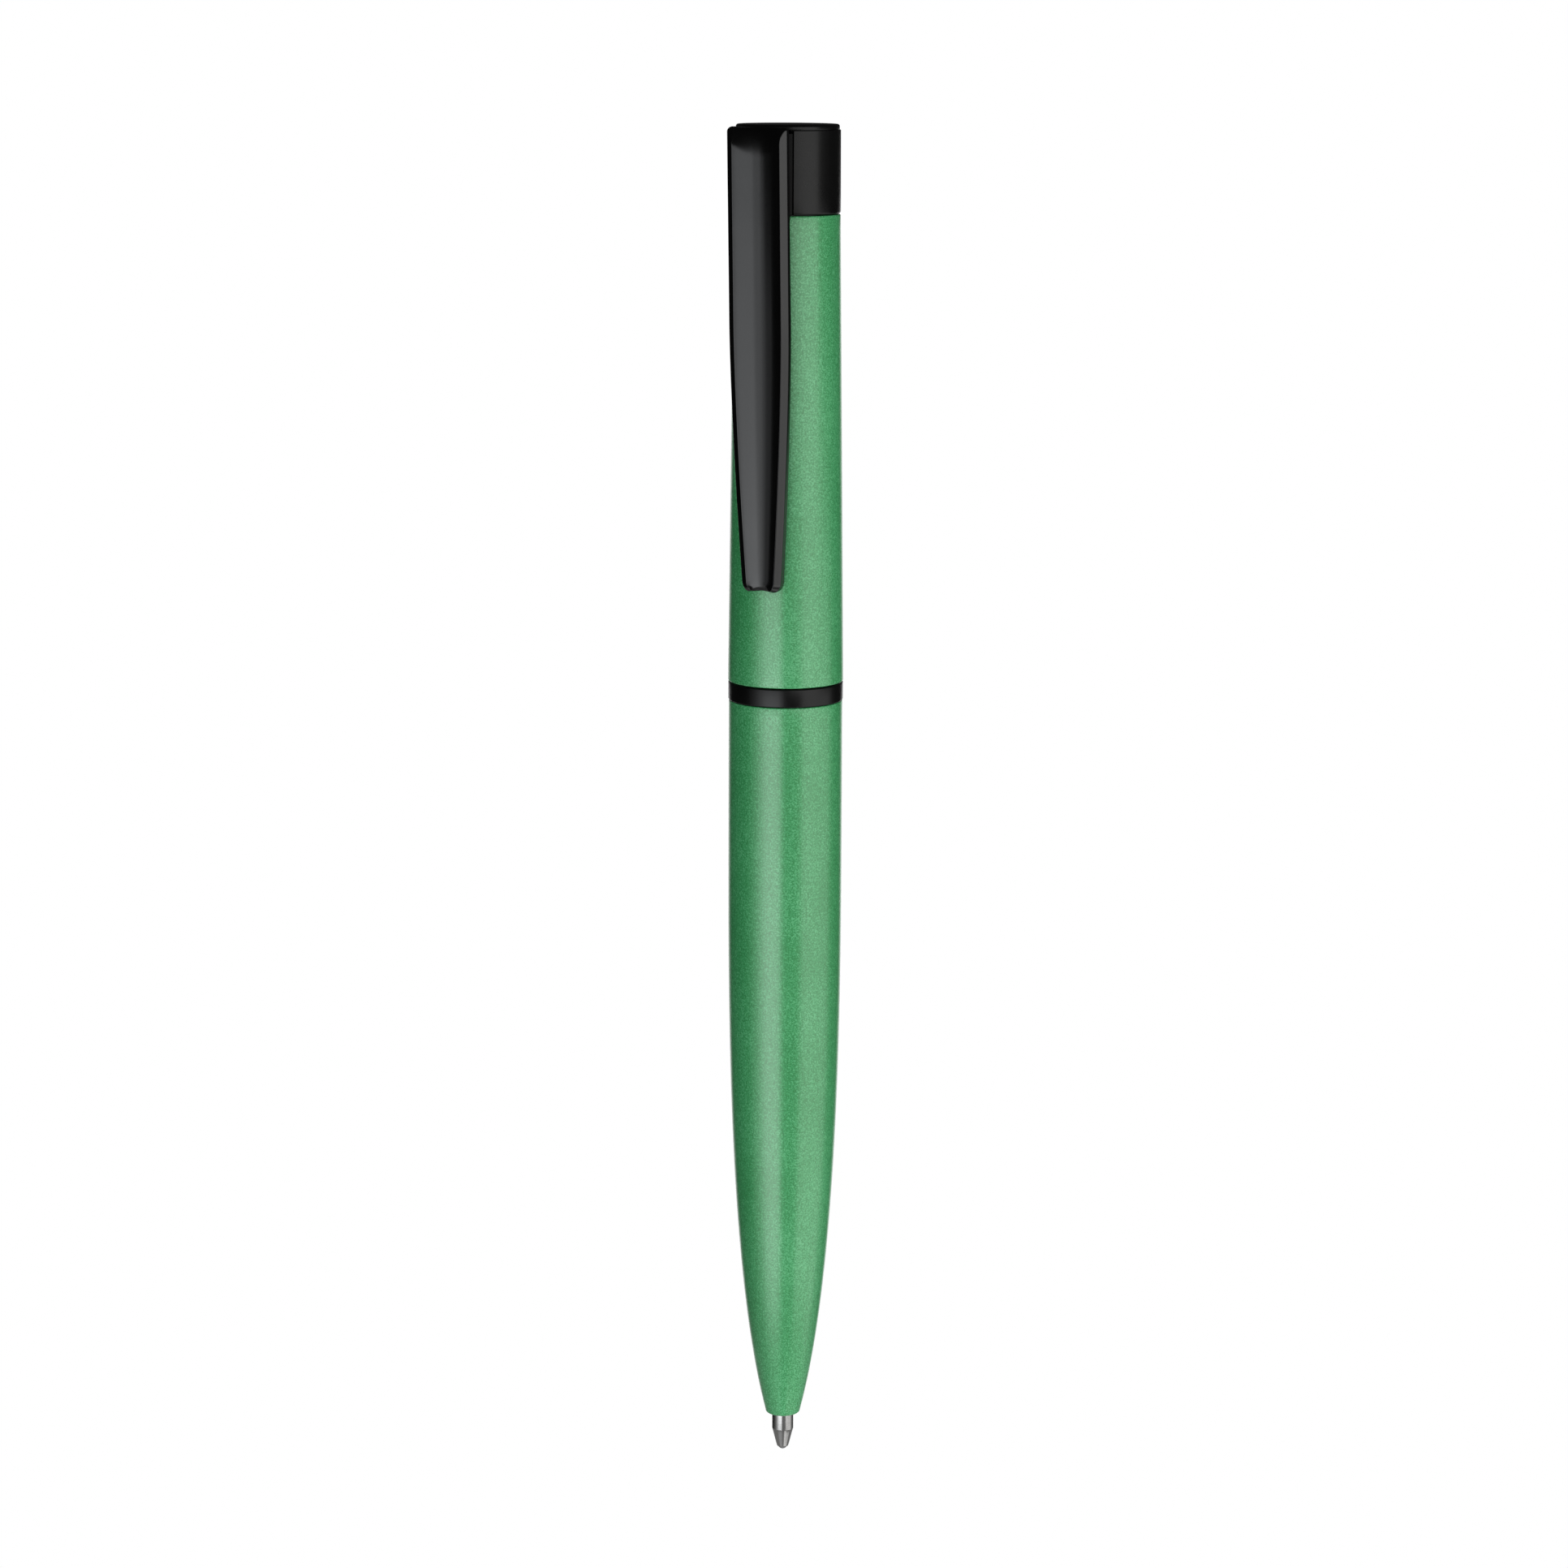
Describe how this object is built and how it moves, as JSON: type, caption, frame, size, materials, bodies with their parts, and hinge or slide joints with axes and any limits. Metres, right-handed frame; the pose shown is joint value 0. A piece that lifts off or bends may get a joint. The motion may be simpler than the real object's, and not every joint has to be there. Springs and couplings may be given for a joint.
{
  "type": "twist-action ballpoint pen",
  "caption": "Slim metal ballpoint pen with a tapered barrel, a black centre ring, cap and clip; twisting the halves draws the point in and out.",
  "frame": {"origin": "on the pen's axis, at the seam under the upper barrel, where the hand holds it", "axes": "+Z along the axis towards the cap, the point down; the clip is on the -Y side"},
  "size_m": [0.0118, 0.0145, 0.1397],
  "materials": {
    "green_paint": "fine metallic paint, satin",
    "black_paint": "smooth black paint, satin",
    "black_lacquer": "hard black lacquer, polished",
    "nickel": "turned and plated, polished",
    "brass": "turned, plain",
    "steel": "drawn or ground",
    "white_plastic": "moulded, fine matte",
    "black_plastic": "moulded, fine matte",
    "soft_rubber": "soft, dull",
    "ink": "thick, glossy"
  },
  "bodies": {
    "lower": {"lower_barrel": "green_paint", "barrel_insert": "brass", "centre_ring": "black_paint", "mechanism_body": "brass", "friction_ring": "soft_rubber", "thrust_washer": "steel", "snap_ring": "steel", "return_spring": "steel"},
    "upper": {"upper_barrel": "green_paint", "cam_sleeve": "black_plastic", "top_cap": "black_paint", "clip_holder": "brass", "hinge_pin": "steel", "cap_plate": "black_paint", "cap_screw": "steel"},
    "clip": {"clip": "black_lacquer"},
    "refill": {"plunger": "white_plastic", "follower_pin": "steel", "refill_tube": "nickel", "refill_plug": "white_plastic", "ink": "ink", "point_holder": "nickel"},
    "ball": {"ball": "steel"}
  },
  "joints": [
    {"name": "twist", "type": "hinge", "parent": "lower", "child": "upper", "pos_m": [0, 0, 0], "axis": [0, 0, 1], "range_deg": [0, 180]},
    {"name": "point_travel", "type": "slide", "parent": "lower", "child": "refill", "axis": [0, 0, 1], "range_m": [0, 0.0055], "stiffness_N_per_m": 300, "springref_m": 0.0075, "deforming": ["return_spring"]},
    {"name": "clip_flex", "type": "hinge", "parent": "upper", "child": "clip", "pos_m": [0, -0.0024, 0.05148], "axis": [-1, 0, 0], "range_deg": [0, 4], "stiffness_Nm_per_rad": 6},
    {"name": "ball_roll", "type": "hinge", "parent": "refill", "child": "ball", "pos_m": [0, 0, -0.08287], "axis": [1, 0, 0], "continuous": true}
  ],
  "couplings": [
    {"joint": "twist", "follows": "point_travel", "rad_per_m": 571.2}
  ]
}
